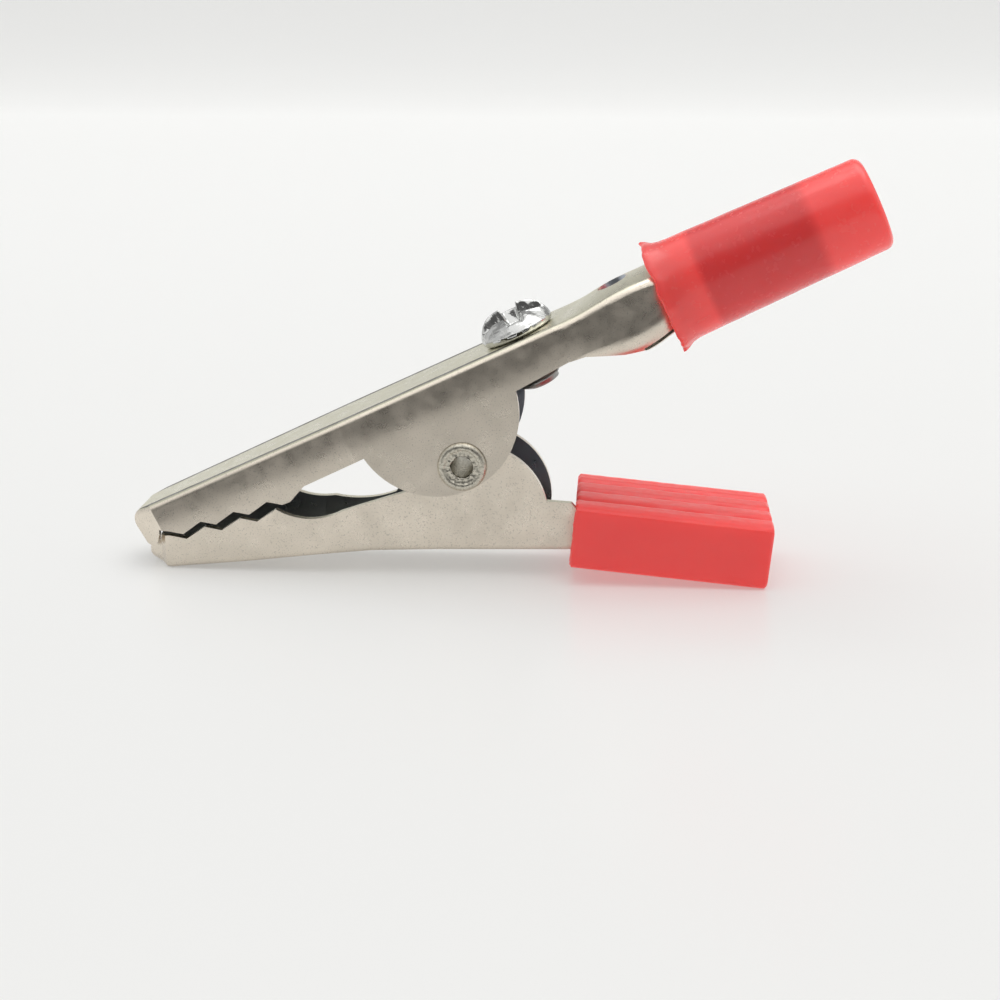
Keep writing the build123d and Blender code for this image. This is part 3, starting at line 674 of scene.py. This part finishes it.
def add_screw():
    """Binding-head screw: dented dome with a worn slot and cross, helical thread and domed tip."""
    points = []
    c, s = math.cos(SLOT_TURN), math.sin(SLOT_TURN)
    for r, z in divide(HEAD, HEAD_STEP):
        for a in turn(SCREW_SEGMENTS):
            x, y = r * math.cos(a), r * math.sin(a)
            points.append((x, y, head_height(x * c + y * s, y * c - x * s, z)))
    for r, z in HEAD_UNDER:
        points += [(r * math.cos(a), r * math.sin(a), z) for a in turn(SCREW_SEGMENTS)]
    depths = [THREAD_STEP * i for i in range(2, THREAD_ROWS)]
    depths += [SHANK_LENGTH - TIP_ROUND * (1 - math.sin(math.radians(t))) for t in range(10, 90, 8)]
    for down in depths:
        for a in turn(SCREW_SEGMENTS):
            r = screw_shank(a, down)
            points.append((r * math.cos(a), r * math.sin(a), -down))
    rings = len(points) // SCREW_SEGMENTS
    faces = [tuple(reversed(face)) for face in ring_faces(rings, SCREW_SEGMENTS)]
    faces += end_cap(0, SCREW_SEGMENTS, len(points))
    points.append((0, 0, points[0][2]))
    faces += end_cap((rings - 1) * SCREW_SEGMENTS, SCREW_SEGMENTS, len(points), reverse=True)
    points.append((0, 0, -SHANK_LENGTH))
    piece = add_piece("screw", points, faces, NICKEL, jaw_frame(SCREW_SEAT), 75)
    stand_for(piece, "terminal_screw", "screw")


# ------------------------------------------------------------------ rivet
RIVET_SEGMENTS = 120
RIVET_BORE, RIVET_TUBE = 0.725, 1.15
FLANGE_THICK = 0.36
ROUGH_REACH, MOUTH_REACH = 1.28, 0.9
DENT_LIMIT = 0.06


def rivet_half(flange_r, crest):
    """Half profile of (radius, distance from the middle): bore, mouth, rough annulus and domed ring."""
    mouth = [(RIVET_BORE, 0.3), (RIVET_BORE, crest - 0.4), (RIVET_BORE + 0.03, crest - 0.2)]
    annulus = [(0.82, crest - 0.14), (0.95, crest - 0.17), (1.08, crest - 0.16), (1.18, crest - 0.08)]
    ring = [(1.27, crest - 0.01), (1.36, crest), (1.46, crest - 0.03)]
    ring += [(1.56, crest - 0.1), (1.64, crest - 0.2), (flange_r, crest - 0.28)]
    under = [(flange_r, crest - FLANGE_THICK), (RIVET_TUBE, crest - FLANGE_THICK)]
    return divide(mouth + annulus + ring + under, 0.09)


def rivet_point(r, y, angle, flange_r, crest):
    """A point of the rivet, dented in its mouth and rough annulus and wavy on its ring."""
    side = 1 if y > 0 else -1
    x, z = math.cos(angle), math.sin(angle)
    flange = abs(y) > crest - FLANGE_THICK
    dent = wave = inward = 0.0
    if flange and r < ROUGH_REACH:
        dent = 0.07 * wobble(x * r, side, z * r, 0.2) + 0.04 * wobble(x * r, side, z * r, 0.1)
    if flange and r < flange_r:
        wave = 0.02 * abs(wobble(x, side, z, 0.4))
    if flange and r < MOUTH_REACH:
        inward = 0.05 * wobble(x, side, z, 0.3)
    reach = min(crest, abs(y) + min(dent, DENT_LIMIT) - wave)
    return ((r + inward) * x, side * reach, (r + inward) * z)


def add_rivet():
    """Hollow rivet with a rolled ring and a rough inner annulus at both ends."""
    crest = RIVET_HIGH.y / MM
    flange_r = (RIVET_HIGH.z - RIVET_LOW.z) / 2 / MM
    half = rivet_half(flange_r, crest)
    profile = half + [(r, -y) for r, y in reversed(half)]
    points = [rivet_point(r, y, a, flange_r, crest) for r, y in profile for a in turn(RIVET_SEGMENTS)]
    faces = ring_faces(len(profile), RIVET_SEGMENTS, closed=True)
    place = Matrix.Translation(PIVOT) @ Matrix.Scale(MM, 4)
    piece = add_piece("rivet", points, faces, RIVET, place, 60)
    stand_for(piece, "pivot_rivet", "upper")


# ------------------------------------------------------------------ spring
WIRE_R, COIL_R, COIL_TURNS = 0.4, 1.72, 4
# Where the legs end: the upper one along and square to the upper web, the lower one in the row frame.
UPPER_LEG = (4.2, 5.22)
LOWER_LEG = (7.4, -5.07)
WIRE_SEGMENTS, COIL_STEPS = 16, 320


def leg_angle(end, side):
    """Angle of a straight leg that is tangent to the coil on the given side and ends at a point."""
    return math.atan2(end[1], end[0]) - side * math.asin(COIL_R / math.hypot(*end))


def spring_path():
    """Centre line: the upper leg, the coil from the +Y side to the -Y side, and the lower leg."""
    half = SPRING_HIGH.y / MM - WIRE_R
    upper = JAW_ALONG * UPPER_LEG[0] + JAW_UP * UPPER_LEG[1]
    upper_end = (upper.x, upper.z)
    first = leg_angle(upper_end, 1) + math.pi / 2
    last = leg_angle(LOWER_LEG, -1) - math.pi / 2 + 2 * math.pi * (COIL_TURNS + 1)
    path = [Vector((upper_end[0], half, upper_end[1]))]
    for i in range(COIL_STEPS + 1):
        share = i / COIL_STEPS
        a = first + (last - first) * share
        path.append(Vector((COIL_R * math.cos(a), half - 2 * half * share, COIL_R * math.sin(a))))
    return path + [Vector((LOWER_LEG[0], -half, LOWER_LEG[1]))]


def add_spring():
    """Torsion spring whose coil twists between the two jaws."""
    path = spring_path()
    points = []
    normal = Vector((0, 1, 0))
    for i, p in enumerate(path):
        along = (path[min(i + 1, len(path) - 1)] - path[max(i - 1, 0)]).normalized()
        normal = (normal - along * normal.dot(along)).normalized()
        side = along.cross(normal)
        for a in turn(WIRE_SEGMENTS):
            points.append(p + normal * (WIRE_R * math.cos(a)) + side * (WIRE_R * math.sin(a)))
    faces = ring_faces(len(path), WIRE_SEGMENTS)
    faces += [tuple(reversed(range(WIRE_SEGMENTS)))]
    faces += [tuple(range(len(points) - WIRE_SEGMENTS, len(points)))]
    place = Matrix.Translation(PIVOT) @ Matrix.Scale(MM, 4)
    piece = add_piece("spring", points, faces, WIRE, place, 60)
    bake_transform(piece)
    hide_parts("torsion_spring")


# ------------------------------------------------------------------ stage, light, camera
CAMERA_AZIMUTH = math.radians(4.2)
CAMERA_ELEVATION = math.radians(16.5)
CAMERA_DISTANCE = 120 * MM
CAMERA_TARGET = Vector((2.31, 0, -3.34)) * MM
SENSOR = 36.0
LENS = 61.7


def add_camera():
    data = bpy.data.cameras.new("camera")
    data.sensor_width = SENSOR
    data.lens = LENS
    data.clip_start = 1 * MM
    data.clip_end = 20
    camera = bpy.data.objects.new("camera", data)
    bpy.context.scene.collection.objects.link(camera)
    a, e = CAMERA_AZIMUTH, CAMERA_ELEVATION
    back = Vector((math.sin(a) * math.cos(e), -math.cos(a) * math.cos(e), math.sin(e)))
    camera.location = CAMERA_TARGET + CAMERA_DISTANCE * back
    camera.rotation_euler = back.to_track_quat("Z", "Y").to_euler()
    bpy.context.scene.camera = camera


def add_stage():
    """Pale table that sweeps up behind the object, faintly lit from within like white acrylic."""
    half, front, rear, radius, wall = 1.2, -0.9, 0.45, 0.3, 0.32
    outline = [(front, 0.0)] + [(rear + y, radius + z) for y, z in arc(0, 0, radius, -90, 0, 16)]
    outline.append((rear + radius, wall))
    points = [(x, y, FLOOR_Z + z) for y, z in outline for x in (-half, half)]
    faces = [(2 * i, 2 * i + 1, 2 * i + 3, 2 * i + 2) for i in range(len(outline) - 1)]
    s = Shader("table_white").set(IOR=1.45, Specular_IOR_Level=0.3, Roughness=0.28)
    s.colour(s.mix(s.noise(60 * MM), (0.53, 0.532, 0.527), (0.54, 0.542, 0.537)))
    s.bsdf.inputs["Emission Color"].default_value = (1.0, 1.0, 0.985, 1)
    s.set(Emission_Strength=0.29)
    add_piece("table", points, faces, s.material)


def add_area_light(name, place, size, power):
    """A rectangular light that faces the object."""
    data = bpy.data.lights.new(name, "AREA")
    data.shape = "RECTANGLE"
    data.size, data.size_y = size
    data.energy = power
    light = bpy.data.objects.new(name, data)
    light.location = place
    light.rotation_euler = Vector(place).to_track_quat("Z", "Y").to_euler()
    bpy.context.scene.collection.objects.link(light)


def map_range(nodes, links, source, low, high, to_low, to_high):
    node = nodes.new("ShaderNodeMapRange")
    node.interpolation_type = "SMOOTHSTEP"
    links.new(source, node.inputs["Value"])
    set_range(node, low, high, to_low, to_high)
    return node.outputs[0]


def multiply(nodes, links, a, b):
    node = nodes.new("ShaderNodeMath")
    node.operation = "MULTIPLY"
    links.new(a, node.inputs[0])
    links.new(b, node.inputs[1])
    return node.outputs[0]


SKY_LEVEL = 1.3
SIDE_LEVEL = 0.8
FRONT_LEVEL = 0.12
REAR_SHARE = 0.45
# Where each band of the room starts and ends, as parts of a direction's length.
FRONT_BAND, REAR_BAND, SKY_BAND = (-0.75, -0.15), (0.3, 0.7), (0.6, 0.8)


def add_world():
    """White room: bright ceiling, dark low in front where the viewer stands, and a dim band behind."""
    world = bpy.data.worlds.new("room")
    bpy.context.scene.world = world
    world.use_nodes = True
    nodes, links = world.node_tree.nodes, world.node_tree.links
    place = nodes.new("ShaderNodeTexCoord")
    split = nodes.new("ShaderNodeSeparateXYZ")
    links.new(place.outputs["Generated"], split.inputs[0])
    front = map_range(nodes, links, split.outputs["Y"], *FRONT_BAND, FRONT_LEVEL, SIDE_LEVEL)
    rear = map_range(nodes, links, split.outputs["Y"], *REAR_BAND, 1.0, REAR_SHARE)
    low = multiply(nodes, links, front, rear)
    sky = map_range(nodes, links, split.outputs["Z"], *SKY_BAND, 0.0, 1.0)
    level = nodes.new("ShaderNodeMix")
    level.data_type = "FLOAT"
    links.new(sky, level.inputs[0])
    links.new(low, level.inputs[2])
    level.inputs[3].default_value = SKY_LEVEL
    background = nodes["Background"]
    background.inputs["Color"].default_value = (1.0, 0.995, 0.985, 1)
    links.new(level.outputs[0], background.inputs["Strength"])


def add_light():
    add_world()
    add_area_light("ceiling", (0.05, 0.12, 0.6), (0.5, 0.4), 1.0)


# ------------------------------------------------------------------ build
add_camera()
add_stage()
add_light()
bpy.context.scene.view_settings.view_transform = "Standard"

soften_edges(dress_node("upper_jaw", UPPER_STEEL), 0.07 * MM)
soften_edges(dress_node("lower_jaw", LOWER_STEEL), 0.09 * MM)
add_sleeve()
add_grip()
add_screw()
add_rivet()
add_spring()
